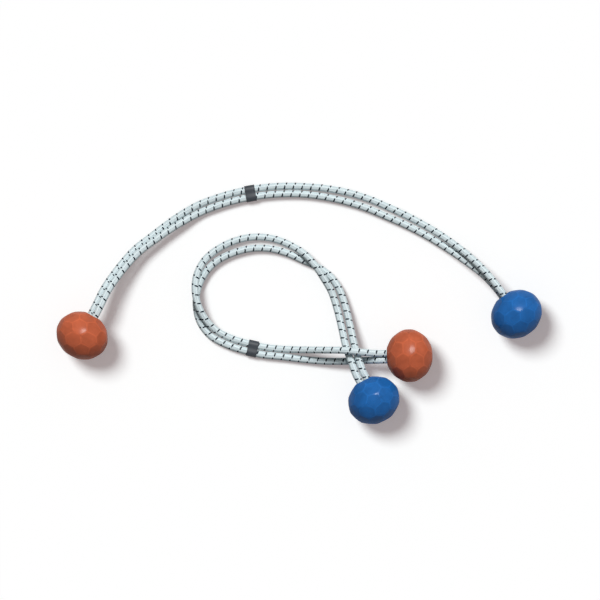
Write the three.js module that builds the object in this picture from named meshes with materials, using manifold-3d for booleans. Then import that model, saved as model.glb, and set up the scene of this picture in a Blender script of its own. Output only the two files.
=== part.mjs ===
// A set of two ball-ended bungee ties: one lies open, the other is closed into a loop.
// Each tie is two strands of braided shock cord with a faceted ball on each end and a
// keeper collar that slides along both strands. Millimetres, +Z up, floor at z = 0.

import * as THREE from "three";
import { ConvexGeometry } from "three/addons/geometries/ConvexGeometry.js";
import { mergeVertices } from "three/addons/utils/BufferGeometryUtils.js";
import Module from "manifold-3d";

const wasm = await Module();
wasm.setup();

// Shock cord: a braided cover round a rubber core
const STRAND_DIAMETER = 4.0;
const COVER_WALL = 0.5;
const CORE_CLEARANCE = 0.3;
const STRAND_GAP = 0.3;
const FLOOR_CLEARANCE = 0.1;
const STRAND_SIDES = 10;

// Faceted ball, moulded as two half shells that meet at its widest section
const BALL_ACROSS_FLATS = 28.4;
const BALL_LENGTH = 25.0;
const BALL_WALL = 2.4;
const FACET_EDGE_SHARE = 0.16;
const SEAM_GAP = 0.2;
const SPIGOT_THICKNESS = 1.0;
const SPIGOT_DEPTH = 2.5;
const SPIGOT_ROOT = 2.5;
const SPIGOT_CLEARANCE = 0.3;
const BORE_CLEARANCE = 0.35;
const BORE_RIM = 0.6;
const SLEEVE_WALL = 1.6;
const SLEEVE_END = 7.2;
const TURNED_SEGMENTS = 20;

// Ferrule crimped on both strand ends inside each ball
const FERRULE_LENGTH = 5.6;
const FERRULE_WALL = 1.1;
const FERRULE_CLEARANCE = 0.25;
const FERRULE_END_GAP = 0.3;

// Keeper collar
const COLLAR_LENGTH = 5.6;
const COLLAR_WALL = 0.65;
const COLLAR_CLEARANCE = 0.25;
const COLLAR_RIM = 0.25;

// Straight pieces in half a turn of an outline round both strands
const OUTLINE_SEGMENTS = 8;

const PITCH = STRAND_DIAMETER + STRAND_GAP;
const BALL_AXIS_HEIGHT = BALL_ACROSS_FLATS / 2;
const BORE_RADIUS = (PITCH + STRAND_DIAMETER) / 2 + BORE_CLEARANCE;

// The collars rest on the floor and hold the strands this far off it
const LYING_HEIGHT = FLOOR_CLEARANCE + COLLAR_WALL + COLLAR_CLEARANCE + STRAND_DIAMETER / 2;

// A route runs from the orange ball's centre to the blue ball's. Each row is
// [x, y, rise, spread, turn]. Rise is 0 on the floor and 1 at the height of the balls'
// axes, spread is the distance between the strands in pitches, and turn is the angle
// in degrees by which the pair is turned about its own line, first strand up.
const OPEN_ROUTE = [
  [-119.7, -17.7, 1, 1, -52],
  [-113.7, -6.6, 1, 1, -52],
  [-111.6, -2.6, 1, 1, -52],
  [-106.6, 7.5, 0.76, 1, -52],
  [-99.4, 18.0, 0.42, 1, -52],
  [-90.3, 28.5, 0.16, 1, -50],
  [-79.5, 37.0, 0.03, 1, -48],
  [-68.2, 45.0, 0, 1, -30],
  [-56.1, 52.0, 0, 1, 0],
  [-44.9, 56.4, 0, 1, 0],
  [-33.2, 59.7, 0, 1, 0],
  [-21.4, 61.8, 0, 1, 0],
  [-9.4, 62.8, 0, 1, 0],
  [2.7, 62.6, 0, 1, 0],
  [14.7, 61.3, 0, 1.12, 0],
  [26.5, 58.9, 0, 1.2, 0],
  [38.0, 55.3, 0, 1.22, 0],
  [49.2, 50.6, 0, 1.2, 0],
  [61.1, 45.1, 0, 1.12, 0],
  [72.4, 39.0, 0.02, 1.06, 10],
  [83.4, 31.9, 0.12, 1.04, 26],
  [93.9, 24.1, 0.38, 1.06, 46],
  [103.1, 15.9, 0.76, 1.04, 66],
  [109.9, 7.9, 1, 1, 75],
  [112.6, 4.3, 1, 1, 75],
  [120.0, -5.9, 1, 1, 75],
];

// The blue end has been passed between the strands beside the orange ball
const LOOPED_ROUTE = [
  [60.9, -28.8, 1, 1, -30],
  [48.3, -29.3, 1, 1, -30],
  [43.8, -29.4, 1, 1, -30],
  [35.9, -29.2, 0.73, 2.02, -59],
  [25.4, -28.9, 0.55, 2.6, -57],
  [14.4, -28.8, 0.18, 2.35, -52],
  [2.8, -28.3, 0, 1.5, -34],
  [-8.8, -27.4, 0, 1, 0],
  [-20.0, -26.2, 0, 1, 0],
  [-31.0, -23.6, 0, 1, 0],
  [-38.8, -21.0, 0, 1, 0],
  [-47.1, -16.6, 0, 1.03, -14],
  [-52.9, -10.1, 0, 1.06, -40],
  [-56.0, -2.5, 0, 1.06, -70],
  [-56.9, 5.8, 0, 1.06, -100],
  [-55.3, 14.1, 0, 1.06, -135],
  [-51.1, 21.6, 0, 1.12, -165],
  [-44.5, 27.2, 0, 1.25, -178],
  [-35.9, 31.3, 0, 1.4, -180],
  [-26.2, 33.6, 0, 1.45, -180],
  [-15.7, 33.2, 0, 1.35, -180],
  [-5.8, 30.1, 0, 1.14, -170],
  [2.2, 25.8, 0, 1.1, -138],
  [9.1, 20.8, 0, 1.1, -90],
  [15.0, 15.0, 0, 1.1, -45],
  [20.1, 7.2, 0.05, 1.08, -12],
  [23.5, -2.8, 0.17, 1.12, 0],
  [26.0, -13.3, 0.38, 1.12, 0],
  [28.3, -23.5, 0.62, 1.12, 0],
  [31.0, -31.8, 0.88, 1, 0],
  [33.3, -38.3, 1, 1, 0],
  [35.4, -42.3, 1, 1, 0],
  [41.3, -53.4, 1, 1, 0],
];

// Each collar sits on a stretch of its route that is an arc about centre. Angle is its
// place on that arc, counted from +X.
const TIES = [
  {
    name: "open_tie",
    route: OPEN_ROUTE,
    arc: { centre: [-5.3, -61.4], radius: 124.19, angle: 100 },
  },
  {
    name: "looped_tie",
    route: LOOPED_ROUTE,
    arc: { centre: [-3.5, 71.2], radius: 98.69, angle: 257 },
  },
];

const MATERIALS = {
  orange: { color: 0xc4603c, roughness: 0.4, metalness: 0 },
  blue: { color: 0x2465a8, roughness: 0.4, metalness: 0 },
  braid: { color: 0xdde8e6, roughness: 0.85, metalness: 0 },
  rubber: { color: 0xc9c2ae, roughness: 0.9, metalness: 0 },
  collar: { color: 0x3c3f48, roughness: 0.6, metalness: 0 },
  ferrule: { color: 0xb4b7ba, roughness: 0.35, metalness: 1 },
};

const mesh = (name, geometry, material) => {
  const body = new THREE.Mesh(geometry, new THREE.MeshStandardMaterial(MATERIALS[material]));
  body.name = name;
  return body;
};

// Solids for cutting and joining

const toSolid = (geometry) => {
  const bare = geometry.clone();
  bare.deleteAttribute("normal");
  bare.deleteAttribute("uv");
  const merged = mergeVertices(bare, 1e-4);
  return new wasm.Manifold(
    new wasm.Mesh({
      numProp: 3,
      vertProperties: new Float32Array(merged.attributes.position.array),
      triVerts: new Uint32Array(merged.index.array),
    }),
  );
};

const toGeometry = (solid) => {
  const { vertProperties, triVerts } = solid.getMesh();
  const geometry = new THREE.BufferGeometry();
  geometry.setAttribute("position", new THREE.BufferAttribute(vertProperties, 3));
  geometry.setIndex(new THREE.BufferAttribute(triVerts, 1));
  return geometry;
};

// A turned solid about the ball's axis, from a closed outline of [radius, z] points
const turned = (outline) => {
  const points = outline.map(([r, z]) => new THREE.Vector2(r, z));
  if (outline[0][0] > 0) points.push(points[0].clone());
  const geometry = new THREE.LatheGeometry(points, TURNED_SEGMENTS);
  return toSolid(geometry.rotateX(Math.PI / 2).rotateZ(Math.PI / TURNED_SEGMENTS));
};

const ring = (inner, outer, low, high) =>
  turned([
    [inner, low],
    [outer, low],
    [outer, high],
    [inner, high],
  ]);

const disc = (radius, low, high) =>
  turned([
    [0, low],
    [radius, low],
    [radius, high],
    [0, high],
  ]);

// The ball

// The 12 corners and 30 edge middles of an icosahedron point at its 42 facets. The
// solid is turned so that one edge middle is on +Z, which becomes the bore's axis, and
// another on +X, which becomes straight up.
const facetDirections = () => {
  const corners = new THREE.IcosahedronGeometry(1, 0).deleteAttribute("normal");
  corners.deleteAttribute("uv");
  const { position } = mergeVertices(corners).attributes;
  const tips = Array.from({ length: position.count }, (_, i) =>
    new THREE.Vector3().fromBufferAttribute(position, i),
  );
  const edgeLength = Math.min(...tips.slice(1).map((tip) => tip.distanceTo(tips[0])));
  const middles = tips.flatMap((a, i) =>
    tips
      .slice(i + 1)
      .filter((b) => a.distanceTo(b) < 1.01 * edgeLength)
      .map((b) => a.clone().add(b).normalize()),
  );
  return [...tips, ...middles];
};

// Three facets meet in a corner where no fourth facet's plane cuts it off
const cornersOfFacets = (directions) => {
  const corners = [];
  directions.forEach((a, i) =>
    directions.forEach((b, j) =>
      directions.forEach((c, k) => {
        if (i >= j || j >= k) return;
        const normal = b.clone().sub(a).cross(c.clone().sub(a));
        const depth = a.dot(normal);
        if (Math.abs(depth) < 1e-6) return;
        const corner = normal.divideScalar(depth);
        const touching = directions.filter((d) => Math.abs(d.dot(corner) - 1) < 1e-6);
        const inside = directions.every((d) => d.dot(corner) < 1 + 1e-6);
        if (inside && touching.length === 3) corners.push({ corner, touching });
      }),
    ),
  );
  return corners;
};

// Every facet is drawn in a little towards its middle, and the hull of the facets then
// has a narrow flat along each edge
const facetedBall = () => {
  const points = cornersOfFacets(facetDirections()).flatMap(({ corner, touching }) =>
    touching.map((middle) => corner.clone().lerp(middle, FACET_EDGE_SHARE)),
  );
  const hull = new ConvexGeometry(points);
  return toSolid(
    hull.scale(BALL_ACROSS_FLATS / 2, BALL_ACROSS_FLATS / 2, BALL_LENGTH / 2),
  );
};

const INNER_RADIUS = BALL_ACROSS_FLATS / 2 - BALL_WALL;
const INNER_HALF_LENGTH = BALL_LENGTH / 2 - BALL_WALL;

const innerSpace = () =>
  toSolid(
    new THREE.SphereGeometry(1, TURNED_SEGMENTS, TURNED_SEGMENTS / 2)
      .rotateX(Math.PI / 2)
      .rotateZ(Math.PI / TURNED_SEGMENTS)
      .scale(INNER_RADIUS, INNER_RADIUS, INNER_HALF_LENGTH),
  );

const half = (ball, side) => {
  const size = 2 * Math.max(BALL_ACROSS_FLATS, BALL_LENGTH);
  const block = new THREE.BoxGeometry(size, size, size);
  block.translate(0, 0, (side * (size + SEAM_GAP)) / 2);
  return ball.intersect(toSolid(block));
};

// The bore is round, so that the ball can turn on the strands, and its rim is broken
const boreThroughMouth = () =>
  disc(BORE_RADIUS, SLEEVE_END - 1, BALL_LENGTH).add(
    turned([
      [0, BALL_LENGTH / 2 - BORE_RIM],
      [BORE_RADIUS - BORE_RIM / 2, BALL_LENGTH / 2 - BORE_RIM],
      [BORE_RADIUS + 1.5 * BORE_RIM, BALL_LENGTH / 2 + BORE_RIM],
      [0, BALL_LENGTH / 2 + BORE_RIM],
    ]),
  );

// The near half has the bore, the sleeve that the ferrule bears on, and the spigot
const nearShell = (ball) => {
  const sleeve = ring(BORE_RADIUS, BORE_RADIUS + SLEEVE_WALL, SLEEVE_END, INNER_HALF_LENGTH);
  const spigotRadius = INNER_RADIUS + SPIGOT_THICKNESS;
  const spigot = ring(INNER_RADIUS, spigotRadius, -SPIGOT_DEPTH, SPIGOT_ROOT);
  return half(ball.subtract(innerSpace()), 1)
    .add(sleeve)
    .subtract(boreThroughMouth())
    .add(spigot);
};

const farShell = (ball) => {
  const socketRadius = INNER_RADIUS + SPIGOT_THICKNESS + SPIGOT_CLEARANCE;
  const socket = disc(socketRadius, -(SPIGOT_DEPTH + SPIGOT_CLEARANCE), SPIGOT_CLEARANCE);
  return half(ball.subtract(innerSpace()), -1).subtract(socket);
};

// An outline round both strands, at a distance outside them
const pairOutline = (Shape, margin) => {
  const radius = STRAND_DIAMETER / 2 + margin;
  const outline = new Shape();
  outline.absarc(PITCH / 2, 0, radius, -Math.PI / 2, Math.PI / 2, false);
  outline.absarc(-PITCH / 2, 0, radius, Math.PI / 2, (3 * Math.PI) / 2, false);
  return outline;
};

const band = (length, clearance, wall, rim) => {
  const outline = pairOutline(THREE.Shape, clearance + wall);
  outline.holes.push(pairOutline(THREE.Path, clearance));
  const geometry = new THREE.ExtrudeGeometry(outline, {
    depth: length - 2 * rim,
    curveSegments: OUTLINE_SEGMENTS / 2,
    bevelEnabled: rim > 0,
    bevelThickness: rim,
    bevelSize: rim,
    bevelOffset: -rim,
    bevelSegments: 1,
  });
  return geometry.translate(0, 0, rim - length / 2);
};

const ferrule = () => {
  const sleeve = band(FERRULE_LENGTH, FERRULE_CLEARANCE, FERRULE_WALL, 0);
  return sleeve.translate(0, 0, SLEEVE_END - FERRULE_END_GAP - FERRULE_LENGTH / 2);
};

const collar = () => band(COLLAR_LENGTH, COLLAR_CLEARANCE, COLLAR_WALL, COLLAR_RIM);

// Cord routes

// The places of both strands beside one row of a route
const strandPlaces = (route, index) => {
  const [x, y, rise, spread, turn] = route[index];
  const before = route[Math.max(index - 1, 0)];
  const after = route[Math.min(index + 1, route.length - 1)];
  const along = new THREE.Vector2(after[0] - before[0], after[1] - before[1]).normalize();
  const angle = THREE.MathUtils.degToRad(turn);
  const reach = (spread * PITCH) / 2;
  const lying = LYING_HEIGHT + reach * Math.abs(Math.sin(angle));
  const height = THREE.MathUtils.lerp(lying, BALL_AXIS_HEIGHT, rise);
  return [1, -1].map((side) => {
    const across = side * reach * Math.cos(angle);
    const up = side * reach * Math.sin(angle);
    return new THREE.Vector3(x - across * along.y, y + across * along.x, height + up);
  });
};

// Both strands take their sections beside the same rows, so they stay apart in bends
class StrandPath extends THREE.CatmullRomCurve3 {
  getUtoTmapping(u) {
    return u;
  }
}

const strandPath = (route, which) =>
  new StrandPath(route.map((_, i) => strandPlaces(route, i)[which]));

const circle = (Shape, radius) => new Shape().absarc(0, 0, radius, 0, 2 * Math.PI, false);

const tube = (path, outer, inner) => {
  const section = circle(THREE.Shape, outer);
  if (inner) section.holes.push(circle(THREE.Path, inner));
  return new THREE.ExtrudeGeometry(section, {
    extrudePath: path,
    steps: path.points.length - 1,
    curveSegments: STRAND_SIDES / 2,
    bevelEnabled: false,
  });
};

const addStrands = (group, tie) => {
  const lumen = STRAND_DIAMETER / 2 - COVER_WALL;
  [1, 2].forEach((number, which) => {
    const path = strandPath(tie.route, which);
    const name = `${tie.name}_strand_${number}`;
    group.add(mesh(`${name}_cover`, tube(path, STRAND_DIAMETER / 2, lumen), "braid"));
    group.add(mesh(`${name}_core`, tube(path, lumen - CORE_CLEARANCE), "rubber"));
  });
};

// A group whose +Z runs along the bore, level, and whose +X is straight up
const placeOnAxis = (x, y, height, alongX, alongY) => {
  const group = new THREE.Group();
  const along = new THREE.Vector3(alongX, alongY, 0).normalize();
  const up = new THREE.Vector3(0, 0, 1);
  const basis = new THREE.Matrix4().makeBasis(up, along.clone().cross(up), along);
  group.quaternion.setFromRotationMatrix(basis);
  group.position.set(x, y, height);
  return group;
};

const ballShape = facetedBall();
const nearGeometry = toGeometry(nearShell(ballShape));
const farGeometry = toGeometry(farShell(ballShape));

// The ball's centre is the route's end, and its bore looks along the route
const addBall = (group, tie, colour, end, next, turn) => {
  const ball = placeOnAxis(end[0], end[1], BALL_AXIS_HEIGHT, next[0] - end[0], next[1] - end[1]);
  const name = `${tie.name}_${colour}`;
  ball.add(mesh(`${name}_near_shell`, nearGeometry.clone(), colour));
  ball.add(mesh(`${name}_far_shell`, farGeometry.clone(), colour));
  const crimp = mesh(`${name}_ferrule`, ferrule(), "ferrule");
  crimp.rotation.z = Math.PI / 2 + THREE.MathUtils.degToRad(turn);
  ball.add(crimp);
  group.add(ball);
};

const addCollar = (group, tie) => {
  const { centre, radius, angle } = tie.arc;
  const around = THREE.MathUtils.degToRad(angle);
  const x = centre[0] + radius * Math.cos(around);
  const y = centre[1] + radius * Math.sin(around);
  const place = placeOnAxis(x, y, LYING_HEIGHT, -Math.sin(around), Math.cos(around));
  const keeper = mesh(`${tie.name}_collar`, collar(), "collar");
  keeper.rotation.z = Math.PI / 2;
  place.add(keeper);
  group.add(place);
};

const bungeeTie = (tie) => {
  const group = new THREE.Group();
  const { route } = tie;
  const last = route.length - 1;
  addBall(group, tie, "orange", route[0], route[1], route[0][4]);
  addBall(group, tie, "blue", route[last], route[last - 1], -route[last][4]);
  addStrands(group, tie);
  addCollar(group, tie);
  return group;
};

const set = new THREE.Group();
TIES.forEach((tie) => set.add(bungeeTie(tie)));

export default set;
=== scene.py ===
"""Looks of a set of two ball-ended bungee ties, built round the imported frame."""

import functools
import math

import bpy
import numpy as np
from mathutils import Matrix, Vector


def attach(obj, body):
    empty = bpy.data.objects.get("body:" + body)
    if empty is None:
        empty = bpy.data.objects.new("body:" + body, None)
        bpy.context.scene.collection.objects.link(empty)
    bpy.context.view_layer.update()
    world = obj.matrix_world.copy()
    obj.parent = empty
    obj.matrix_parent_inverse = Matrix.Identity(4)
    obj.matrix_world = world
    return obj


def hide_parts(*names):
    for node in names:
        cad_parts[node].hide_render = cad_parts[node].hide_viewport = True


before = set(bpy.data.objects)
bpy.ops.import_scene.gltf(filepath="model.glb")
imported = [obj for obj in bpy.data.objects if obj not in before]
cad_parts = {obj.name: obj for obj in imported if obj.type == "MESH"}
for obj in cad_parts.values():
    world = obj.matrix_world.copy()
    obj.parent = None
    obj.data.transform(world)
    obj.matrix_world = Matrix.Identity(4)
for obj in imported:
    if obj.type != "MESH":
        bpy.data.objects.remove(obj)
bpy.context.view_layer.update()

bl_info = {
    "name": "Ball-ended bungee ties",
    "version": (1, 0, 0),
    "blender": (4, 5, 0),
    "location": "View3D > Sidebar > Bungee ties",
    "description": "Makes strands of shock cord, faceted balls, keeper collars and their stage",
    "category": "Object",
}

MM = 0.001
COLOURS = ("orange", "blue")
# The side of its route on which each strand lies, 1 for the left
STRANDS = {1: 1, 2: -1}

# Where things lie, as in the part's source
PITCH = 4.3 * MM
BALL_AXIS_HEIGHT = 14.2 * MM
LYING_HEIGHT = 3.0 * MM

# Rows of x and y in metres, rise, spread and turn. Rise is 0 on the floor and 1 at the
# height of the balls' axes, spread is the distance between the strands in pitches, and
# turn is the angle in degrees by which the pair is turned, first strand up.
ROUTES = {
    "open_tie": [
        (-0.1197, -0.0177, 1, 1, -52),
        (-0.1137, -0.0066, 1, 1, -52),
        (-0.1116, -0.0026, 1, 1, -52),
        (-0.1066, 0.0075, 0.76, 1, -52),
        (-0.0994, 0.0180, 0.42, 1, -52),
        (-0.0903, 0.0285, 0.16, 1, -50),
        (-0.0795, 0.0370, 0.03, 1, -48),
        (-0.0682, 0.0450, 0, 1, -30),
        (-0.0561, 0.0520, 0, 1, 0),
        (-0.0449, 0.0564, 0, 1, 0),
        (-0.0332, 0.0597, 0, 1, 0),
        (-0.0214, 0.0618, 0, 1, 0),
        (-0.0094, 0.0628, 0, 1, 0),
        (0.0027, 0.0626, 0, 1, 0),
        (0.0147, 0.0613, 0, 1.12, 0),
        (0.0265, 0.0589, 0, 1.2, 0),
        (0.0380, 0.0553, 0, 1.22, 0),
        (0.0492, 0.0506, 0, 1.2, 0),
        (0.0611, 0.0451, 0, 1.12, 0),
        (0.0724, 0.0390, 0.02, 1.06, 10),
        (0.0834, 0.0319, 0.12, 1.04, 26),
        (0.0939, 0.0241, 0.38, 1.06, 46),
        (0.1031, 0.0159, 0.76, 1.04, 66),
        (0.1099, 0.0079, 1, 1, 75),
        (0.1126, 0.0043, 1, 1, 75),
        (0.1200, -0.0059, 1, 1, 75),
    ],
    "looped_tie": [
        (0.0609, -0.0288, 1, 1, -30),
        (0.0483, -0.0293, 1, 1, -30),
        (0.0438, -0.0294, 1, 1, -30),
        (0.0359, -0.0292, 0.73, 2.02, -59),
        (0.0254, -0.0289, 0.55, 2.6, -57),
        (0.0144, -0.0288, 0.18, 2.35, -52),
        (0.0028, -0.0283, 0, 1.5, -34),
        (-0.0088, -0.0274, 0, 1, 0),
        (-0.0200, -0.0262, 0, 1, 0),
        (-0.0310, -0.0236, 0, 1, 0),
        (-0.0388, -0.0210, 0, 1, 0),
        (-0.0471, -0.0166, 0, 1.03, -14),
        (-0.0529, -0.0101, 0, 1.06, -40),
        (-0.0560, -0.0025, 0, 1.06, -70),
        (-0.0569, 0.0058, 0, 1.06, -100),
        (-0.0553, 0.0141, 0, 1.06, -135),
        (-0.0511, 0.0216, 0, 1.12, -165),
        (-0.0445, 0.0272, 0, 1.25, -178),
        (-0.0359, 0.0313, 0, 1.4, -180),
        (-0.0262, 0.0336, 0, 1.45, -180),
        (-0.0157, 0.0332, 0, 1.35, -180),
        (-0.0058, 0.0301, 0, 1.14, -170),
        (0.0022, 0.0258, 0, 1.1, -138),
        (0.0091, 0.0208, 0, 1.1, -90),
        (0.0150, 0.0150, 0, 1.1, -45),
        (0.0201, 0.0072, 0.05, 1.08, -12),
        (0.0235, -0.0028, 0.17, 1.12, 0),
        (0.0260, -0.0133, 0.38, 1.12, 0),
        (0.0283, -0.0235, 0.62, 1.12, 0),
        (0.0310, -0.0318, 0.88, 1, 0),
        (0.0333, -0.0383, 1, 1, 0),
        (0.0354, -0.0423, 1, 1, 0),
        (0.0413, -0.0534, 1, 1, 0),
    ],
}

# Degrees by which each ball has swivelled about its bore, from one facet straight up
ROLLS = {
    "open_tie_orange": 19,
    "open_tie_blue": -13,
    "looped_tie_orange": 19,
    "looped_tie_blue": -59,
}

# Centre x and y and radius of the arc under each collar, in metres, and its angle on it
KEEPER_ARCS = {
    "open_tie": (-0.0053, -0.0614, 0.12419, math.radians(100)),
    "looped_tie": (-0.0035, 0.0712, 0.09869, math.radians(257)),
}


def srgb(code):
    """A linear colour from a hex one."""
    parts = (int(code[i : i + 2], 16) / 255 for i in (0, 2, 4))
    return tuple(p / 12.92 if p <= 0.04045 else ((p + 0.055) / 1.055) ** 2.4 for p in parts)


def length_property(name, description, default):
    """A setting for a length in metres."""
    return bpy.props.FloatProperty(
        name=name,
        description=description,
        default=default,
        min=0,
        precision=5,
        unit="LENGTH",
    )


def colour_property(name, description, code):
    """A setting for a colour, with a hex one to start from."""
    return bpy.props.FloatVectorProperty(
        name=name,
        description=description,
        default=srgb(code),
        min=0,
        max=1,
        subtype="COLOR",
    )


# Settings


class CordSettings(bpy.types.PropertyGroup):
    diameter: length_property("Strand", "Diameter of one strand of shock cord", 4.0 * MM)
    cover_wall: length_property("Cover wall", "Thickness of the braided cover", 0.5 * MM)
    core_gap: length_property("Core gap", "Gap between the cover and the rubber", 0.3 * MM)
    lead: length_property("Braid lead", "Length in which a yarn goes round once", 4.85 * MM)
    yarn: length_property("Yarn", "Height of the yarns above the grooves", 0.2 * MM)
    braid: colour_property("Braid", "Colour of the yarns", "F0FCFD")
    # Painted shade: the colour laid into the grooves between the yarns
    groove_shade: colour_property("Groove", "Colour deep between the yarns", "56788B")
    tracer: colour_property("Tracer", "Colour of the one dark yarn", "1C2833")
    rubber: colour_property("Rubber", "Colour of the latex core", "D6CCB2")


class BallSettings(bpy.types.PropertyGroup):
    across: length_property("Across flats", "Width across two facets beside the bore", 28.9 * MM)
    length: length_property("Length", "Length along the bore", 25.6 * MM)
    wall: length_property("Wall", "Thickness of the moulded shells", 2.4 * MM)
    seam: length_property("Seam", "Width of the hairline between the shells", 0.04 * MM)
    bore: length_property("Bore radius", "Radius of the bore for both strands", 4.5 * MM)
    flat: bpy.props.FloatProperty(
        name="Flat share",
        description="Share of a facet's width that is flat, where the rest is rounded",
        default=0.88,
        min=0.3,
        max=0.98,
        subtype="FACTOR",
    )
    dome: bpy.props.FloatProperty(
        name="Dome",
        description="How far the facets bulge, from 0 for flat to 1 for a smooth ball",
        default=0.65,
        min=0,
        max=1,
        subtype="FACTOR",
    )
    orange: colour_property("Orange", "Colour of the orange plastic", "BB5D3D")
    blue: colour_property("Blue", "Colour of the blue plastic", "1D61A6")
    ferrule: colour_property("Ferrule", "Colour of the crimped aluminium", "C9CBCE")


class KeeperSettings(bpy.types.PropertyGroup):
    length: length_property("Length", "Length of the collar along the cord", 5.6 * MM)
    wall: length_property("Wall", "Thickness of the collar", 0.18 * MM)
    gap: length_property("Gap", "Gap between the collar and the strands", 0.25 * MM)
    waist: length_property("Waist", "Depth of the dip between the strands", 0.2 * MM)
    colour: colour_property("Collar", "Colour of the collar", "22282F")


class StageSettings(bpy.types.PropertyGroup):
    width: length_property("View width", "Width that the camera sees at the ties", 331.5 * MM)
    floor: length_property("Floor", "Side of the floor", 8.0)
    paper: colour_property("Paper", "Colour of the backdrop paper", "FFF3F3")
    lens: bpy.props.FloatProperty(
        name="Lens",
        description="Focal length in millimetres, long for a view straight down",
        default=400,
        min=20,
    )
    fill: bpy.props.FloatProperty(
        name="Fill", description="Level of the light from all round", default=0.15, min=0
    )
    glow: bpy.props.FloatProperty(
        name="Glow", description="Level of the light through the paper", default=0.25, min=0
    )
    key: bpy.props.FloatProperty(
        name="Key", description="Level of the lamp above the ties", default=0.93, min=0
    )


# Nodes


def add_node(tree, kind, inputs=None, **settings):
    """Adds a node with its settings, and sets or links its inputs."""
    node = tree.nodes.new(kind)
    for key, value in settings.items():
        setattr(node, key, value)
    for key, value in (inputs or {}).items():
        socket = node.inputs[key]
        sources = value if isinstance(value, list) else [value]
        for source in sources:
            if isinstance(source, bpy.types.NodeSocket):
                tree.links.new(source, socket)
            else:
                socket.default_value = source
    return node


def new_material(name):
    """A material with an empty tree, and what adds nodes to it."""
    material = bpy.data.materials.new(name)
    material.use_nodes = True
    material.node_tree.nodes.clear()
    return material, functools.partial(add_node, material.node_tree)


# Sockets of a Mix node, first as it mixes colours and then as it mixes vectors
MIX_FACTOR, MIX_A, MIX_B, MIX_RESULT = 0, 6, 7, 2
VECTOR_A, VECTOR_B, VECTOR_RESULT = 4, 5, 1
# By how much painted highlight brightens the plastic's facet edges, and how bright the latex is
# under its talc and the vinyl in its scuffs, as shares of their colours
EDGE_HIGHLIGHT = 0.2
UNDER_TALC = 0.8
IN_SCUFFS = 1.7


def moulded_plastic(name, colour):
    """Polypropylene, injection moulded. The body is matt, with faint clouds of stronger and
    weaker colour where the flow met. The mould leaves a thin, closed skin on it that shines a
    little, which is the coat, and a satin grain. The facets' edges are paler, a painted
    highlight."""
    material, add = new_material(name)
    place = add("ShaderNodeTexCoord").outputs["Object"]
    clouds = add("ShaderNodeTexNoise", {"Vector": place, "Scale": 1 / (6 * MM), "Detail": 3.0})
    value = add(
        "ShaderNodeMapRange",
        {
            "Value": clouds.outputs[0],
            "From Min": 0.3,
            "From Max": 0.7,
            "To Min": 0.86,
            "To Max": 1.14,
        },
    )
    edge = add("ShaderNodeAttribute", attribute_name=EDGE).outputs["Fac"]
    # Painted highlight: the facets' rounded edges are made paler
    edge_highlight = add(
        "ShaderNodeMath", {0: edge, 1: EDGE_HIGHLIGHT, 2: value.outputs[0]}, operation="MULTIPLY_ADD"
    )
    tint = add("ShaderNodeHueSaturation", {"Color": (*colour, 1), "Value": edge_highlight.outputs[0]})
    satin = add("ShaderNodeTexNoise", {"Vector": place, "Scale": 1 / (0.5 * MM), "Detail": 2.0})
    rough = add(
        "ShaderNodeMapRange", {"Value": satin.outputs[0], "To Min": 0.5, "To Max": 0.7}
    )
    bump = add(
        "ShaderNodeBump", {"Strength": 0.3, "Distance": 0.02 * MM, "Height": satin.outputs[0]}
    )
    surface = add(
        "ShaderNodeBsdfPrincipled",
        {
            "Base Color": tint.outputs[0],
            "Roughness": rough.outputs[0],
            "IOR": 1.49,
            "Specular IOR Level": 0.05,
            "Coat Weight": 0.2,
            "Coat Roughness": 0.2,
            "Coat IOR": 1.49,
            "Normal": bump.outputs[0],
        },
    )
    add("ShaderNodeOutputMaterial", {"Surface": surface.outputs[0]})
    return material


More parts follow.
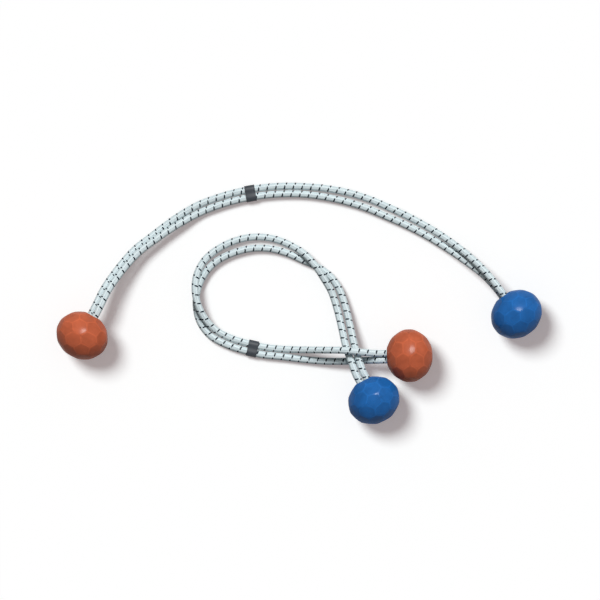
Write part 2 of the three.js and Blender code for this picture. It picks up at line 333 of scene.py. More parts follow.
def braided_polyester(name, colour, groove_shade, tracer):
    """Polyester filament yarns, braided over two and under two on sixteen carriers. They are
    matt white with a slight sheen, with painted shade that greys them in the grooves, and the
    one dark yarn shows as a slanted dash wherever it lies on top."""
    material, add = new_material(name)
    yarns = add("ShaderNodeUVMap", uv_map=YARN_MAP).outputs[0]
    split = add("ShaderNodeSeparateXYZ", {0: yarns}).outputs
    terms = []
    dashes = (HALF_CARRIERS, DASH_WIDTH), (OVER_UNDER, DASH_LENGTH)
    for axis, (period, reach) in enumerate(dashes):
        off = add("ShaderNodeMath", {0: split[axis], 1: period / 2}, operation="PINGPONG")
        share = add("ShaderNodeMath", {0: off.outputs[0], 1: reach / 2}, operation="DIVIDE")
        power = add("ShaderNodeMath", {0: share.outputs[0], 1: DASH_POWER}, operation="POWER")
        terms.append(power.outputs[0])
    total = add("ShaderNodeMath", dict(enumerate(terms)), operation="ADD")
    dash = add("ShaderNodeMath", {0: total.outputs[0], 1: 1.0}, operation="LESS_THAN")
    relief = add("ShaderNodeAttribute", attribute_name=RELIEF)
    raised = add(
        "ShaderNodeMapRange", {"Value": relief.outputs["Fac"], "From Min": 0.5, "From Max": 0.9}
    )
    # Painted shade: the low parts of the relief take the darker groove colour
    yarn = add(
        "ShaderNodeMix",
        {MIX_FACTOR: raised.outputs[0], MIX_A: (*groove_shade, 1), MIX_B: (*colour, 1)},
        data_type="RGBA",
    )
    both = add(
        "ShaderNodeMix",
        {MIX_FACTOR: dash.outputs[0], MIX_A: yarn.outputs[MIX_RESULT], MIX_B: (*tracer, 1)},
        data_type="RGBA",
    )
    # Filaments along the yarns, drawn a few times as coarse as they are
    stretched = add("ShaderNodeMapping", {"Vector": yarns, "Scale": (6.0, 1.0, 1.0)})
    filaments = add("ShaderNodeTexNoise", {"Vector": stretched.outputs[0], "Scale": 1.6})
    bump = add(
        "ShaderNodeBump",
        {"Strength": 0.4, "Distance": 0.05 * MM, "Height": filaments.outputs[0]},
    )
    surface = add(
        "ShaderNodeBsdfPrincipled",
        {
            "Base Color": both.outputs[MIX_RESULT],
            "Roughness": 0.75,
            "Specular IOR Level": 0.1,
            "Sheen Weight": 0.03,
            "Normal": bump.outputs[0],
        },
    )
    add("ShaderNodeOutputMaterial", {"Surface": surface.outputs[0]})
    return material


def latex_rubber(name, colour):
    """Natural latex, extruded as threads: waxy, cream, with a bloom of talc."""
    material, add = new_material(name)
    place = add("ShaderNodeTexCoord").outputs["Object"]
    talc = add("ShaderNodeTexNoise", {"Vector": place, "Scale": 1 / (0.8 * MM), "Detail": 4.0})
    dull = tuple(UNDER_TALC * c for c in colour)
    mix = add(
        "ShaderNodeMix",
        {MIX_FACTOR: talc.outputs[0], MIX_A: (*dull, 1), MIX_B: (*colour, 1)},
        data_type="RGBA",
    )
    surface = add(
        "ShaderNodeBsdfPrincipled",
        {"Base Color": mix.outputs[MIX_RESULT], "Roughness": 0.6, "IOR": 1.52},
    )
    add("ShaderNodeOutputMaterial", {"Surface": surface.outputs[0]})
    return material


def crimped_aluminium(name, colour):
    """Soft aluminium, drawn and crimped: bright, with fine rubbed marks."""
    material, add = new_material(name)
    place = add("ShaderNodeTexCoord").outputs["Object"]
    marks = add("ShaderNodeTexNoise", {"Vector": place, "Scale": 1 / (0.4 * MM), "Detail": 5.0})
    rough = add(
        "ShaderNodeMapRange", {"Value": marks.outputs[0], "To Min": 0.25, "To Max": 0.5}
    )
    surface = add(
        "ShaderNodeBsdfPrincipled",
        {"Base Color": (*colour, 1), "Metallic": 1.0, "Roughness": rough.outputs[0]},
    )
    add("ShaderNodeOutputMaterial", {"Surface": surface.outputs[0]})
    return material


def soft_vinyl(name, colour):
    """Plasticised vinyl, moulded: dark, satin, with the paler scuffs that sliding leaves."""
    material, add = new_material(name)
    place = add("ShaderNodeTexCoord").outputs["Object"]
    scuffs = add("ShaderNodeTexNoise", {"Vector": place, "Scale": 1 / (1.1 * MM), "Detail": 6.0})
    share = add(
        "ShaderNodeMapRange", {"Value": scuffs.outputs[0], "From Min": 0.45, "From Max": 0.75}
    )
    pale = tuple(min(1.0, IN_SCUFFS * c) for c in colour)
    mix = add(
        "ShaderNodeMix",
        {MIX_FACTOR: share.outputs[0], MIX_A: (*colour, 1), MIX_B: (*pale, 1)},
        data_type="RGBA",
    )
    rough = add("ShaderNodeMapRange", {"Value": scuffs.outputs[0], "To Min": 0.4, "To Max": 0.7})
    bump = add(
        "ShaderNodeBump", {"Strength": 0.3, "Distance": 0.03 * MM, "Height": scuffs.outputs[0]}
    )
    surface = add(
        "ShaderNodeBsdfPrincipled",
        {
            "Base Color": mix.outputs[MIX_RESULT],
            "Roughness": rough.outputs[0],
            "Normal": bump.outputs[0],
        },
    )
    add("ShaderNodeOutputMaterial", {"Surface": surface.outputs[0]})
    return material


def rays_that_show(add):
    """Adds what is 1 for the rays that show the backdrop: the camera's, and those that metal
    and gloss send back or glass lets through."""
    rays = add("ShaderNodeLightPath").outputs
    seen = rays["Is Camera Ray"]
    for kind in ("Is Glossy Ray", "Is Transmission Ray"):
        seen = add("ShaderNodeMath", {0: seen, 1: rays[kind]}, operation="MAXIMUM").outputs[0]
    return seen


# What the paper sends back to the ties
BOUNCE = (0.2, 0.2, 0.2)


def white_backdrop(name, colour, glow):
    """Seamless paper, white and a little warm, which shows in the shadows. It is lit through a
    little from behind. It looks white in the picture and in reflections, and the ties get the
    light that a grey one would send back."""
    material, add = new_material(name)
    seen = rays_that_show(add)
    mix = add(
        "ShaderNodeMix",
        {MIX_FACTOR: seen, MIX_A: (*BOUNCE, 1), MIX_B: (*colour, 1)},
        data_type="RGBA",
    )
    paper = add("ShaderNodeBsdfDiffuse", {"Color": mix.outputs[MIX_RESULT]})
    level = add("ShaderNodeMath", {0: seen, 1: glow}, operation="MULTIPLY")
    light = add("ShaderNodeEmission", {"Color": (*colour, 1), "Strength": level.outputs[0]})
    surface = add("ShaderNodeAddShader", {0: paper.outputs[0], 1: light.outputs[0]})
    add("ShaderNodeOutputMaterial", {"Surface": surface.outputs[0]})
    return material


# Meshes


def new_piece(name, mesh, material):
    """An object of this mesh in the scene, with its material where one is given."""
    piece = bpy.data.objects.new(name, mesh)
    bpy.context.scene.collection.objects.link(piece)
    if material:
        mesh.materials.clear()
        mesh.materials.append(material)
    return piece


def loft(name, rings, closed=False):
    """A mesh through rings of points: a ring itself where closed, and else capped. Returns it
    with the ring and the place on it of each corner of its four-sided faces."""
    count, sides = rings.shape[:2]
    steps = count if closed else count - 1
    ring, side = (a.ravel() for a in np.indices((steps, sides)))
    corner_ring = np.stack([ring, ring, ring + 1, ring + 1], 1)
    corner_side = np.stack([side, side + 1, side + 1, side], 1)
    caps = [np.arange(sides)[::-1], np.arange(sides) + (count - 1) * sides]

    # Outward is away from the middle of the first ring
    first = rings[0]
    facing = np.cross(np.roll(first, -1, 0) - first, rings[1] - first)
    if (facing * (first - first.mean(0))).sum() < 0:
        corner_ring, corner_side = corner_ring[:, ::-1], corner_side[:, ::-1]
        caps = [cap[::-1] for cap in caps]
    faces = ((corner_ring % count) * sides + corner_side % sides).tolist()
    if not closed:
        faces += [cap.tolist() for cap in caps]
    mesh = bpy.data.meshes.new(name)
    mesh.from_pydata(rings.reshape(-1, 3), [], faces)
    mesh.polygons.foreach_set("use_smooth", np.ones(len(faces), bool))
    return mesh, corner_ring, corner_side


def add_map(mesh, name, places):
    """Adds a UV map from an array of each corner's place."""
    layer = mesh.uv_layers.new(name=name)
    layer.data.foreach_set("uv", np.ascontiguousarray(places, np.float32).ravel())


# The strands


def strand_places(route, side):
    """The places of one strand beside the rows of a route, as in the part's source."""
    rows = np.array(route, float)
    plan = rows[:, :2]
    ahead = np.r_[plan[1:], plan[-1:]] - np.r_[plan[:1], plan[:-1]]
    ahead /= np.linalg.norm(ahead, axis=1)[:, None]
    rise, spread, angle = rows[:, 2], rows[:, 3], np.radians(rows[:, 4])
    reach = spread * PITCH / 2
    lying = LYING_HEIGHT + reach * np.abs(np.sin(angle))
    height = lying + (BALL_AXIS_HEIGHT - lying) * rise
    across = side * reach * np.cos(angle)
    return np.stack(
        [
            plan[:, 0] - across * ahead[:, 1],
            plan[:, 1] + across * ahead[:, 0],
            height + side * reach * np.sin(angle),
        ],
        axis=1,
    )


# Points on the curve between two of a strand's places, before they are evened out
CURVE_POINTS = 64


def smooth_line(points, step):
    """A centripetal Catmull-Rom curve through points, with points about step apart on it."""
    ends = [2 * points[0] - points[1], 2 * points[-1] - points[-2]]
    p = np.vstack([ends[:1], points, ends[1:]])
    gap = np.linalg.norm(np.diff(p, axis=0), axis=1) ** 0.5
    fine = []
    for k in range(1, len(p) - 2):
        before, here, after = gap[k - 1 : k + 2]
        chord = p[k + 1] - p[k]
        out = (p[k] - p[k - 1]) / before - (p[k + 1] - p[k - 1]) / (before + here) + chord / here
        into = chord / here - (p[k + 2] - p[k]) / (here + after) + (p[k + 2] - p[k + 1]) / after
        out, into = out * here, into * here
        t = np.linspace(0, 1, CURVE_POINTS, endpoint=False)[:, None]
        cubic = -2 * chord + out + into
        square = 3 * chord - 2 * out - into
        fine.append(p[k] + out * t + square * t**2 + cubic * t**3)
    fine = np.vstack([*fine, points[-1:]])
    along = np.r_[0, np.cumsum(np.linalg.norm(np.diff(fine, axis=0), axis=1))]
    at = np.linspace(0, along[-1], math.ceil(along[-1] / step) + 1)
    return at, np.stack([np.interp(at, along, fine[:, k]) for k in range(3)], 1)


def frames_along(line):
    """Up and left of each point of a line, square to it."""
    ahead = np.gradient(line, axis=0)
    ahead /= np.linalg.norm(ahead, axis=1)[:, None]
    up = np.array([0, 0, 1.0]) - ahead * ahead[:, 2:]
    up /= np.linalg.norm(up, axis=1)[:, None]
    return up, np.cross(up, ahead)


def rings_round(line, radius):
    """Rings of points round a line, from above over its left. Radius has a row for each point
    of the line and a column for each point of a ring."""
    up, left = frames_along(line)
    angle = np.linspace(0, 2 * math.pi, radius.shape[1], endpoint=False)
    way = up[:, None] * np.cos(angle)[:, None] + left[:, None] * np.sin(angle)[:, None]
    return line[:, None] + way * radius[..., None]


# The braid. Half of its carriers go round each way, and every yarn goes over two and
# under two of the others.
HALF_CARRIERS = 8
OVER_UNDER = 4
YARN_MAP = "yarns"
BAKE_MAP = "OFBake"
RELIEF = "relief"
COVER_SIDES = 24
COVER_STEP = 0.15 * MM
# Rings of the outer wall for each ring of the lining
LINING_STEP = 10
# The dark yarn's dashes, in yarns
DASH_WIDTH = 1.6
DASH_LENGTH = 2.8
# Their outline, from 2 for an oval to more for a squarer one
DASH_POWER = 4.0
# Where the dark yarn starts, in turns round the strand from the top
FIRST_DASH_ANGLE = 0.175


def yarn_places(leads, turns):
    """Places among the yarns that go round one way and among those that go round the other,
    from the length along a strand in leads and the angle round it in turns. The dark yarn's
    dashes have their middles at 0, 0."""
    return HALF_CARRIERS * (turns - leads), HALF_CARRIERS * (turns + leads)


def braid_height(one_way, other_way):
    """The braid's surface, from 0 in the grooves to 1 on top of a yarn."""
    heights = []
    for mine, others, start in ((one_way, other_way, 0), (other_way, one_way, OVER_UNDER / 2)):
        yarn = np.round(mine)
        lift = 0.5 + 0.5 * np.cos((others + yarn - start) * 2 * math.pi / OVER_UNDER)
        crown = np.sqrt(np.clip(1 - (2 * (mine - yarn)) ** 2, 0, 1))
        heights.append(0.5 * lift + 0.5 * crown)
    return np.maximum(*heights)


def cover_mesh(name, line, along, cord):
    """A braided tube: its outer wall with the yarns, and its plain lining."""
    turns = np.arange(COVER_SIDES) / COVER_SIDES
    leads = along[:, None] / cord.lead
    height = braid_height(*yarn_places(leads, turns - FIRST_DASH_ANGLE))
    outer = rings_round(line, cord.diameter / 2 - cord.yarn * (1 - height))
    lining = np.full((len(line), COVER_SIDES), cord.diameter / 2 - cord.cover_wall)
    picks = np.unique(np.r_[np.arange(0, len(line), LINING_STEP), len(line) - 1])[::-1]
    rings = np.concatenate([outer, rings_round(line, lining)[picks]])
    mesh, ring, side = loft(name, rings, closed=True)

    # Along the strand at each ring, where the lining comes back
    places = np.r_[along, along[picks], 0.0]
    turn = side / COVER_SIDES
    add_map(
        mesh,
        YARN_MAP,
        np.stack(yarn_places(places[ring] / cord.lead, turn - FIRST_DASH_ANGLE), -1),
    )
    # The relief, which the material also uses to paint shade into the grooves
    shown = np.r_[height.ravel(), np.zeros(len(picks) * COVER_SIDES)]
    mesh.attributes.new(RELIEF, "FLOAT", "POINT").data.foreach_set("value", shown)

    # A map with no overlaps, in strips side by side, with the lining's squeezed together
    squeezed = 0.05
    done = np.r_[along, along[-1] + squeezed * (along[-1] - along[picks])]
    done = np.r_[done, done[-1] + squeezed * cord.diameter]
    strips = math.ceil(math.sqrt(done[-1] / (math.pi * cord.diameter)))
    strip_length = done[-1] / strips
    strip = np.minimum(done[ring.min(1)] // strip_length, strips - 1)[:, None]
    margin = 0.99
    add_map(
        mesh,
        BAKE_MAP,
        np.stack(
            [
                (done[ring] / strip_length - strip) * margin,
                (strip + margin * turn) / strips,
            ],
            -1,
        ),
    )
    return mesh


RUBBER_THREADS = 7
POINTS_A_THREAD = 4
CORE_STEP = 1.0 * MM
# Depth of the dips between the threads, as a share of the bundle's radius
THREAD_SHARE = 0.1


def core_mesh(name, line, cord):
    """A bundle of rubber threads, pressed together by the cover."""
    radius = cord.diameter / 2 - cord.cover_wall - cord.core_gap
    sides = RUBBER_THREADS * POINTS_A_THREAD
    lobes = np.abs(np.sin(np.arange(sides) * math.pi / POINTS_A_THREAD))
    radii = np.broadcast_to(radius * (1 - THREAD_SHARE * (1 - lobes)), (len(line), sides))
    return loft(name, rings_round(line, radii))[0]


class BUNGEE_OT_strands(bpy.types.Operator):
    """Makes the four strands of shock cord, each a braided cover on a rubber core"""

    bl_idname = "bungee.strands"
    bl_label = "Strands"

    def execute(self, context):
        cord = context.scene.bungee_cord
        braid = braided_polyester(
            "braided polyester", cord.braid[:], cord.groove_shade[:], cord.tracer[:]
        )
        rubber = latex_rubber("latex rubber", cord.rubber[:])
        for tie, route in ROUTES.items():
            for number, side in STRANDS.items():
                strand = f"{tie}_strand_{number}"
                places = strand_places(route, side)
                coarse = smooth_line(places, CORE_STEP)[1]
                core = new_piece(f"{strand}_rubber", core_mesh(strand, coarse, cord), rubber)
                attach(core, "cords")
                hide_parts(f"{strand}_core")
                along, line = smooth_line(places, COVER_STEP)
                mesh = cover_mesh(strand, line, along, cord)
                cover = new_piece(f"{strand}_braid", mesh, braid)
                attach(cover, "cords")
                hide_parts(f"{strand}_cover")
        return {"FINISHED"}


# The balls


def along_bore(route, at_start, roll):
    """The matrix that puts a ball made about the origin, with its bore on +Z and +X up, on
    one end of a route, rolled about its bore by an angle in degrees."""
    end, following = (route[0], route[1]) if at_start else (route[-1], route[-2])
    ahead = Vector((following[0] - end[0], following[1] - end[1], 0)).normalized()
    up = Vector((0, 0, 1))
    turned = Matrix((up, ahead.cross(up), ahead)).transposed().to_4x4()
    rolled = Matrix.Rotation(math.radians(roll), 4, "Z")
    return Matrix.Translation((end[0], end[1], BALL_AXIS_HEIGHT)) @ turned @ rolled


def new_geometry_tree(name, inputs):
    """A Geometry Nodes tree with these named inputs and one output, and what adds nodes."""
    tree = bpy.data.node_groups.new(name, "GeometryNodeTree")
    for label, kind in inputs.items():
        tree.interface.new_socket(label, in_out="INPUT", socket_type=f"NodeSocket{kind}")
    tree.interface.new_socket("Geometry", in_out="OUTPUT", socket_type="NodeSocketGeometry")
    return tree, functools.partial(add_node, tree)


BALL_INPUTS = {
    "Radius": "Float",
    "Half length": "Float",
    "Flat share": "Float",
    "Dome": "Float",
}
SHELL_INPUTS = {
    **BALL_INPUTS,
    "Wall": "Float",
    "Seam": "Float",
    "Bore radius": "Float",
    "Material": "Material",
}
# Turns the icosahedron so that one edge's middle is on +Z and another on +X
EDGE_TURN = (0.0, -math.atan(2 / (1 + math.sqrt(5))), math.pi / 2)
ROUNDING_LEVELS = 2
EDGE = "edge"
TURNED_SIDES = 64
SLEEVE_WALL = 1.6 * MM
# How far the sleeve's inner end and its top, in the wall, are from the ball's middle
SLEEVE_END = 7.2 * MM
SLEEVE_TOP = 11 * MM
# How far the bore's cut goes past the sleeve
CUT_SPARE = 1 * MM
SPIGOT_WALL = 1.0 * MM
SPIGOT_REACH = 2.5 * MM
SPIGOT_GAP = 0.3 * MM
MOUTH_BREAK = 0.6 * MM
BLOCK = 60 * MM
SHARP_ANGLE = math.radians(28)


def faceted_ball_tree():
    """The 42 facets lie square to the corners and edge middles of an icosahedron. They are the
    dual of one whose faces were split once, with each corner put where three facets meet.
    Each facet is rounded towards its edges, and the dome makes it bulge."""
    tree, add = new_geometry_tree("faceted ball", BALL_INPUTS)
    given = add("NodeGroupInput").outputs
    ico = add("GeometryNodeMeshIcoSphere", {"Radius": 1.0, "Subdivisions": 2})
    turned = add("GeometryNodeTransform", {"Geometry": ico.outputs[0], "Rotation": EDGE_TURN})
    normal = add("GeometryNodeInputNormal").outputs[0]
    middle = add("GeometryNodeInputPosition").outputs[0]
    depth = add("ShaderNodeVectorMath", {0: normal, 1: middle}, operation="DOT_PRODUCT")
    reach = add("ShaderNodeMath", {0: 1.0, 1: depth.outputs["Value"]}, operation="DIVIDE")
    corner = add(
        "ShaderNodeVectorMath", {0: normal, "Scale": reach.outputs[0]}, operation="SCALE"
    )
    kept = add("GeometryNodeCaptureAttribute", domain="FACE")
    kept.capture_items.new("VECTOR", "Corner")
    tree.links.new(turned.outputs[0], kept.inputs[0])
    tree.links.new(corner.outputs[0], kept.inputs[1])
    dual = add("GeometryNodeDualMesh", {"Mesh": kept.outputs[0]})
    placed = add(
        "GeometryNodeSetPosition", {"Geometry": dual.outputs[0], "Position": kept.outputs[1]}
    )
    inner = add(
        "GeometryNodeExtrudeMesh",
        {"Mesh": placed.outputs[0], "Offset Scale": 0.0, "Individual": True},
        mode="FACES",
    )
    drawn_in = add(
        "GeometryNodeScaleElements",
        {
            "Geometry": inner.outputs["Mesh"],
            "Selection": inner.outputs["Top"],
            "Scale": given["Flat share"],
        },
        domain="FACE",
    )
    # Marks the rounded edges, where the plastic's material paints a highlight
    edge = add("ShaderNodeMath", {0: 1.0, 1: inner.outputs["Top"]}, operation="SUBTRACT")
    marked = add(
        "GeometryNodeStoreNamedAttribute",
        {"Geometry": drawn_in.outputs[0], "Name": EDGE, "Value": edge.outputs[0]},
        data_type="FLOAT",
        domain="POINT",
    )
    rounded = add(
        "GeometryNodeSubdivisionSurface",
        {
            "Mesh": marked.outputs[0],
            "Level": ROUNDING_LEVELS,
            "Edge Crease": inner.outputs["Top"],
            "Vertex Crease": inner.outputs["Top"],
        },
    )
    on_sphere = add("ShaderNodeVectorMath", {0: middle}, operation="NORMALIZE")
    place = add(
        "ShaderNodeMix",
        {MIX_FACTOR: given["Dome"], VECTOR_A: middle, VECTOR_B: on_sphere.outputs[0]},
        data_type="VECTOR",
    )
    domed = add(
        "GeometryNodeSetPosition",
        {"Geometry": rounded.outputs[0], "Position": place.outputs[VECTOR_RESULT]},
    )
    size = add(
        "ShaderNodeCombineXYZ",
        {"X": given["Radius"], "Y": given["Radius"], "Z": given["Half length"]},
    )
    sized = add(
        "GeometryNodeTransform", {"Geometry": domed.outputs[0], "Scale": size.outputs[0]}
    )
    add("NodeGroupOutput", {0: sized.outputs[0]})
    return tree


def shell_tree(name, near, ball_tree):
    """One of the ball's two shells, about the origin. The near one has the bore, the sleeve
    that the ferrule bears on, and the spigot. The far one has the spigot's socket."""
    tree, add = new_geometry_tree(name, SHELL_INPUTS)
    given = add("NodeGroupInput").outputs

    def sums(operation, a, b):
        """What a Math node makes of two values."""
        return add("ShaderNodeMath", {0: a, 1: b}, operation=operation).outputs[0]

    def joined(operation, first, *others):
        """The solids cut from the first one, or joined or crossed with it."""
        cuts = operation == "DIFFERENCE"
        inputs = {0: first, 1: list(others)} if cuts else {1: [first, *others]}
        return add(
            "GeometryNodeMeshBoolean", inputs, operation=operation, solver="MANIFOLD"
        ).outputs[0]

    def moved(solid, height):
        """A solid, moved along the bore's axis."""
        place = add("ShaderNodeCombineXYZ", {"Z": height})
        return add(
            "GeometryNodeTransform",
            {"Geometry": solid.outputs[0], "Translation": place.outputs[0]},
        ).outputs[0]

    def rod(radius, low, high):
        """A round solid about the bore's axis."""
        solid = add(
            "GeometryNodeMeshCylinder",
            {"Vertices": TURNED_SIDES, "Radius": radius, "Depth": high - low},
        )
        return moved(solid, (low + high) / 2)

    ball = add(
        "GeometryNodeGroup", {label: given[label] for label in BALL_INPUTS}, node_tree=ball_tree
    )
    side = 1 if near else -1
    cube = add("GeometryNodeMeshCube", {"Size": (BLOCK, BLOCK, BLOCK)})
    block = moved(cube, sums("MULTIPLY", sums("ADD", given["Seam"], BLOCK), side / 2))
    inner_radius = sums("SUBTRACT", given["Radius"], given["Wall"])
    inner_half = sums("SUBTRACT", given["Half length"], given["Wall"])
    sphere = add(
        "GeometryNodeMeshUVSphere", {"Segments": TURNED_SIDES, "Rings": TURNED_SIDES // 2}
    )
    size = add("ShaderNodeCombineXYZ", {"X": inner_radius, "Y": inner_radius, "Z": inner_half})
    space = add(
        "GeometryNodeTransform", {"Geometry": sphere.outputs[0], "Scale": size.outputs[0]}
    )
    half = joined("INTERSECT", ball.outputs[0], block)
    shell = joined("DIFFERENCE", half, space.outputs[0])
    if near:
        sleeve = rod(sums("ADD", given["Bore radius"], SLEEVE_WALL), SLEEVE_END, SLEEVE_TOP)
        spigot = joined(
            "DIFFERENCE",
            rod(sums("ADD", inner_radius, SPIGOT_WALL), -SPIGOT_REACH, SPIGOT_REACH),
            rod(inner_radius, -2 * SPIGOT_REACH, 2 * SPIGOT_REACH),
        )
        bore = rod(given["Bore radius"], SLEEVE_END - CUT_SPARE, BLOCK / 2)
        flare = add(
            "GeometryNodeMeshCone",
            {
                "Vertices": TURNED_SIDES,
                "Radius Bottom": sums("SUBTRACT", given["Bore radius"], MOUTH_BREAK / 2),
                "Radius Top": sums("ADD", given["Bore radius"], 1.5 * MOUTH_BREAK),
                "Depth": 2 * MOUTH_BREAK,
            },
        )
        # It stands proud of the facet, so that their faces don't lie level
        mouth = moved(flare, sums("SUBTRACT", given["Half length"], MOUTH_BREAK / 2))
        shell = joined("DIFFERENCE", joined("UNION", shell, sleeve, spigot), bore, mouth)
    else:
        room = sums("ADD", inner_radius, SPIGOT_WALL + SPIGOT_GAP)
        shell = joined(
            "DIFFERENCE", shell, rod(room, -SPIGOT_REACH - SPIGOT_GAP, SPIGOT_REACH)
        )
    smooth = add("GeometryNodeSetShadeSmooth", {"Geometry": shell, "Shade Smooth": True})
    bend = add("GeometryNodeInputMeshEdgeAngle").outputs["Unsigned Angle"]
    sharp = sums("GREATER_THAN", bend, SHARP_ANGLE)
    creased = add(
        "GeometryNodeSetShadeSmooth",
        {"Geometry": smooth.outputs[0], "Selection": sharp, "Shade Smooth": False},
        domain="EDGE",
    )
    real = add("GeometryNodeRealizeInstances", {"Geometry": creased.outputs[0]})
    painted = add(
        "GeometryNodeSetMaterial", {"Geometry": real.outputs[0], "Material": given["Material"]}
    )
    add("NodeGroupOutput", {0: painted.outputs[0]})
    return tree


def made_mesh(tree, values):
    """The plain mesh that a Geometry Nodes tree makes from these values of its inputs."""
    holder = bpy.data.objects.new("holder", bpy.data.meshes.new("holder"))
    bpy.context.scene.collection.objects.link(holder)
    modifier = holder.modifiers.new("tree", "NODES")
    modifier.node_group = tree
    for item in tree.interface.items_tree:
        if item.in_out == "INPUT":
            modifier[item.identifier] = values[item.name]
    evaluated = holder.evaluated_get(bpy.context.evaluated_depsgraph_get())
    mesh = bpy.data.meshes.new_from_object(evaluated)
    holder.modifiers.remove(modifier)
    bpy.data.objects.remove(holder)
    if not mesh.polygons:
        raise RuntimeError(f"{tree.name} made no faces")
    return mesh


class BUNGEE_OT_balls(bpy.types.Operator):
    """Makes the two shells of each of the four faceted balls"""

    bl_idname = "bungee.balls"
    bl_label = "Balls"

    def execute(self, context):
        ball = context.scene.bungee_ball
        ball_tree = faceted_ball_tree()
        trees = {
            "near": shell_tree("near shell", True, ball_tree),
            "far": shell_tree("far shell", False, ball_tree),
        }
        for colour in COLOURS:
            plastic = moulded_plastic(f"moulded polypropylene {colour}", getattr(ball, colour)[:])
            values = {
                "Radius": ball.across / 2,
                "Half length": ball.length / 2,
                "Flat share": ball.flat,
                "Dome": ball.dome,
                "Wall": ball.wall,
                "Seam": ball.seam,
                "Bore radius": ball.bore,
                "Material": plastic,
            }
            for which, tree in trees.items():
                shape = made_mesh(tree, values)
                for tie, route in ROUTES.items():
                    name = f"{tie}_{colour}"
                    mesh = shape.copy()
                    mesh.transform(along_bore(route, colour == "orange", ROLLS[name]))
                    shell = new_piece(f"{name}_{which}_half", mesh, None)
                    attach(shell, f"{name}_ball")
                    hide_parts(f"{name}_{which}_shell")
                bpy.data.meshes.remove(shape)
        return {"FINISHED"}


class BUNGEE_OT_ferrules(bpy.types.Operator):
    """Gives the ferrules in the balls their metal"""

    bl_idname = "bungee.ferrules"
    bl_label = "Ferrules"

    def execute(self, context):
        metal = crimped_aluminium("crimped aluminium", context.scene.bungee_ball.ferrule[:])
        for tie in ROUTES:
            for colour in COLOURS:
                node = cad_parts[f"{tie}_{colour}_ferrule"]
                for slot in node.material_slots:
                    slot.link = "OBJECT"
                    slot.material = metal
        return {"FINISHED"}


# The keeper collars

KEEPER_SIDES = 96
CORNER_POINTS = 5
CORNER_REACH = 0.08 * MM


def collar_mesh(name, keeper, strand_radius):
    """A band round both strands, about the origin, with its length on +Z. Its edges are
    rounded, and it dips between the strands."""

    def outline(radius):
        """Round the two strands side by side on X, with a dip between them."""
        straight = np.linspace(-1, 1, KEEPER_SIDES // 6 + 2)[1:-1]
        arc = np.linspace(-math.pi / 2, math.pi / 2, KEEPER_SIDES // 2 - len(straight))
        right = np.stack([PITCH / 2 + radius * np.cos(arc), radius * np.sin(arc)], 1)
        sag = radius - keeper.waist * np.cos(straight * math.pi / 2) ** 2
        top = np.stack([-straight * PITCH / 2, sag], 1)
        half_turn = np.vstack([right, top])
        return np.vstack([half_turn, -half_turn])

    inner = outline(strand_radius + keeper.gap)
    outer = outline(strand_radius + keeper.gap + keeper.wall)

    # Across the wall, from 0 inside to 1 outside, and along, round one end and then the other
    turn = np.linspace(0, math.pi / 2, CORNER_POINTS)
    reach = CORNER_REACH / keeper.wall * (1 - np.sin(turn))
    level = keeper.length / 2 - CORNER_REACH * (1 - np.cos(turn))
    section = [*zip(1 - reach[::-1], level[::-1]), *zip(reach, level)]
    section += [(s, -z) for s, z in section[::-1]]
    rings = [
        np.column_stack([inner + s * (outer - inner), np.full(len(inner), z)]) for s, z in section
    ]
    return loft(name, np.array(rings), closed=True)[0]


class BUNGEE_OT_keepers(bpy.types.Operator):
    """Makes the two keeper collars"""

    bl_idname = "bungee.keepers"
    bl_label = "Keeper collars"

    def execute(self, context):
        keeper = context.scene.bungee_keeper
        vinyl = soft_vinyl("plasticised vinyl", keeper.colour[:])
        up = Vector((0, 0, 1))
        for tie, (x, y, radius, angle) in KEEPER_ARCS.items():
            out = Vector((math.cos(angle), math.sin(angle), 0))
            turned = Matrix((out, up, out.cross(up))).transposed().to_4x4()
            place = Vector((x, y, LYING_HEIGHT)) + radius * out
            mesh = collar_mesh(f"{tie}_keeper", keeper, context.scene.bungee_cord.diameter / 2)
            mesh.transform(Matrix.Translation(place) @ turned)
            band = new_piece(f"{tie}_keeper_band", mesh, vinyl)
            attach(band, f"{tie}_keeper")
            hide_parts(f"{tie}_collar")
        return {"FINISHED"}


# The stage

# Where the camera looks, on the floor
VIEW_MIDDLE = (0.56 * MM, 1.93 * MM)
VIEW_HEIGHT = 10 * MM
SENSOR = 36.0
# Azimuth from +X, elevation and apparent size of each lamp, in degrees
KEY_WAY = (78, 57, 18)
FLOOR_WAY = (135, 56, 22)


def add_lamp(name, level, way):
    """A sun that gives a white surface square to it this level of brightness."""
    azimuth, elevation, width = (math.radians(v) for v in way)
    data = bpy.data.lights.new(name, "SUN")
    data.energy = level * math.pi
    data.angle = width
    lamp = bpy.data.objects.new(name, data)
    bpy.context.scene.collection.objects.link(lamp)
    source = Vector(
        (
            math.cos(azimuth) * math.cos(elevation),
            math.sin(azimuth) * math.cos(elevation),
            math.sin(elevation),
        )
    )
    lamp.rotation_euler = source.to_track_quat("Z", "Y").to_euler()
    return lamp


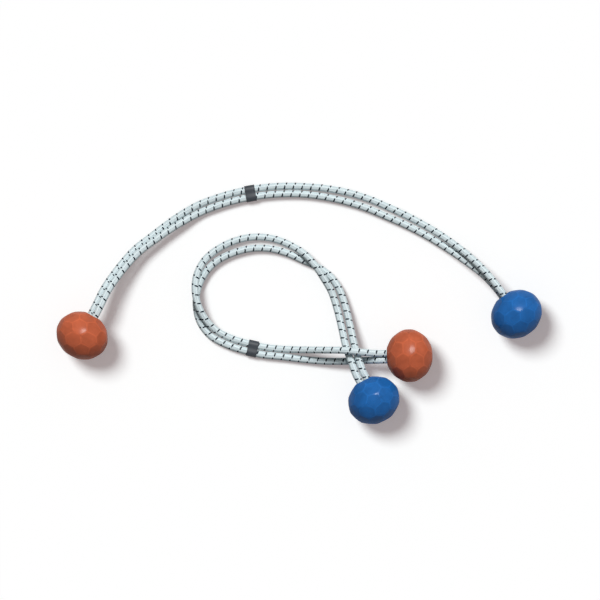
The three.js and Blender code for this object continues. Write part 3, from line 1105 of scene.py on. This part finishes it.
class BUNGEE_OT_stage(bpy.types.Operator):
    """Makes the camera, the white floor and the soft light"""

    bl_idname = "bungee.stage"
    bl_label = "Stage"

    def execute(self, context):
        scene = context.scene
        stage = scene.bungee_stage
        scene.view_settings.view_transform = "Standard"

        camera = bpy.data.objects.new("camera", bpy.data.cameras.new("camera"))
        scene.collection.objects.link(camera)
        camera.data.lens = stage.lens
        camera.data.sensor_width = SENSOR
        distance = stage.width * stage.lens / SENSOR
        camera.location = (*VIEW_MIDDLE, VIEW_HEIGHT + distance)
        scene.camera = camera

        side = stage.floor / 2
        corners = [(-side, -side, 0), (side, -side, 0), (side, side, 0), (-side, side, 0)]
        mesh = bpy.data.meshes.new("floor")
        mesh.from_pydata(corners, [], [(0, 1, 2, 3)])
        paper = white_backdrop("white backdrop paper", stage.paper[:], stage.glow)
        floor = new_piece("floor", mesh, paper)

        # The key lights the ties, and the floor has a lamp of its own for their shadow
        key = add_lamp("key", stage.key, KEY_WAY)
        floor_lamp = add_lamp("floor lamp", 1 / math.sin(math.radians(FLOOR_WAY[1])), FLOOR_WAY)
        # It makes the fill and the glow up to white on the paper
        floor_lamp.data.color = [1 / c - stage.glow - stage.fill for c in stage.paper]
        for lamp, state in ((key, "EXCLUDE"), (floor_lamp, "INCLUDE")):
            lit = bpy.data.collections.new(f"lit by {lamp.name}")
            lit.objects.link(floor)
            lit.collection_objects[0].light_linking.link_state = state
            lamp.light_linking.receiver_collection = lit

        world = bpy.data.worlds.new("studio")
        world.use_nodes = True
        world.node_tree.nodes.clear()
        scene.world = world
        add = functools.partial(add_node, world.node_tree)
        seen = rays_that_show(add)
        level = add("ShaderNodeMapRange", {"Value": seen, "To Min": stage.fill, "To Max": 1.0})
        light = add("ShaderNodeBackground", {"Color": (1, 1, 1, 1), "Strength": level.outputs[0]})
        add("ShaderNodeOutputWorld", {"Surface": light.outputs[0]})
        return {"FINISHED"}


OPERATORS = (
    BUNGEE_OT_stage,
    BUNGEE_OT_strands,
    BUNGEE_OT_balls,
    BUNGEE_OT_ferrules,
    BUNGEE_OT_keepers,
)


class BUNGEE_PT_panel(bpy.types.Panel):
    """Lists what the add-on makes, with its sizes and colours"""

    bl_idname = "BUNGEE_PT_panel"
    bl_label = "Bungee ties"
    bl_space_type = "VIEW_3D"
    bl_region_type = "UI"
    bl_category = "Bungee ties"

    def draw(self, context):
        for operator in OPERATORS:
            self.layout.operator(operator.bl_idname)
        for name in SETTINGS:
            settings = getattr(context.scene, name)
            box = self.layout.box()
            for key in settings.bl_rna.properties.keys():
                if key not in ("rna_type", "name"):
                    box.prop(settings, key)


SETTINGS = {
    "bungee_cord": CordSettings,
    "bungee_ball": BallSettings,
    "bungee_keeper": KeeperSettings,
    "bungee_stage": StageSettings,
}


def register():
    for kind in (*SETTINGS.values(), *OPERATORS, BUNGEE_PT_panel):
        bpy.utils.register_class(kind)
    for name, kind in SETTINGS.items():
        setattr(bpy.types.Scene, name, bpy.props.PointerProperty(type=kind))


def unregister():
    for name in SETTINGS:
        delattr(bpy.types.Scene, name)
    for kind in (BUNGEE_PT_panel, *OPERATORS, *SETTINGS.values()):
        bpy.utils.unregister_class(kind)


def main():
    register()
    bpy.ops.bungee.stage()
    bpy.ops.bungee.strands()
    bpy.ops.bungee.balls()
    bpy.ops.bungee.ferrules()
    bpy.ops.bungee.keepers()


if __name__ == "__main__":
    main()
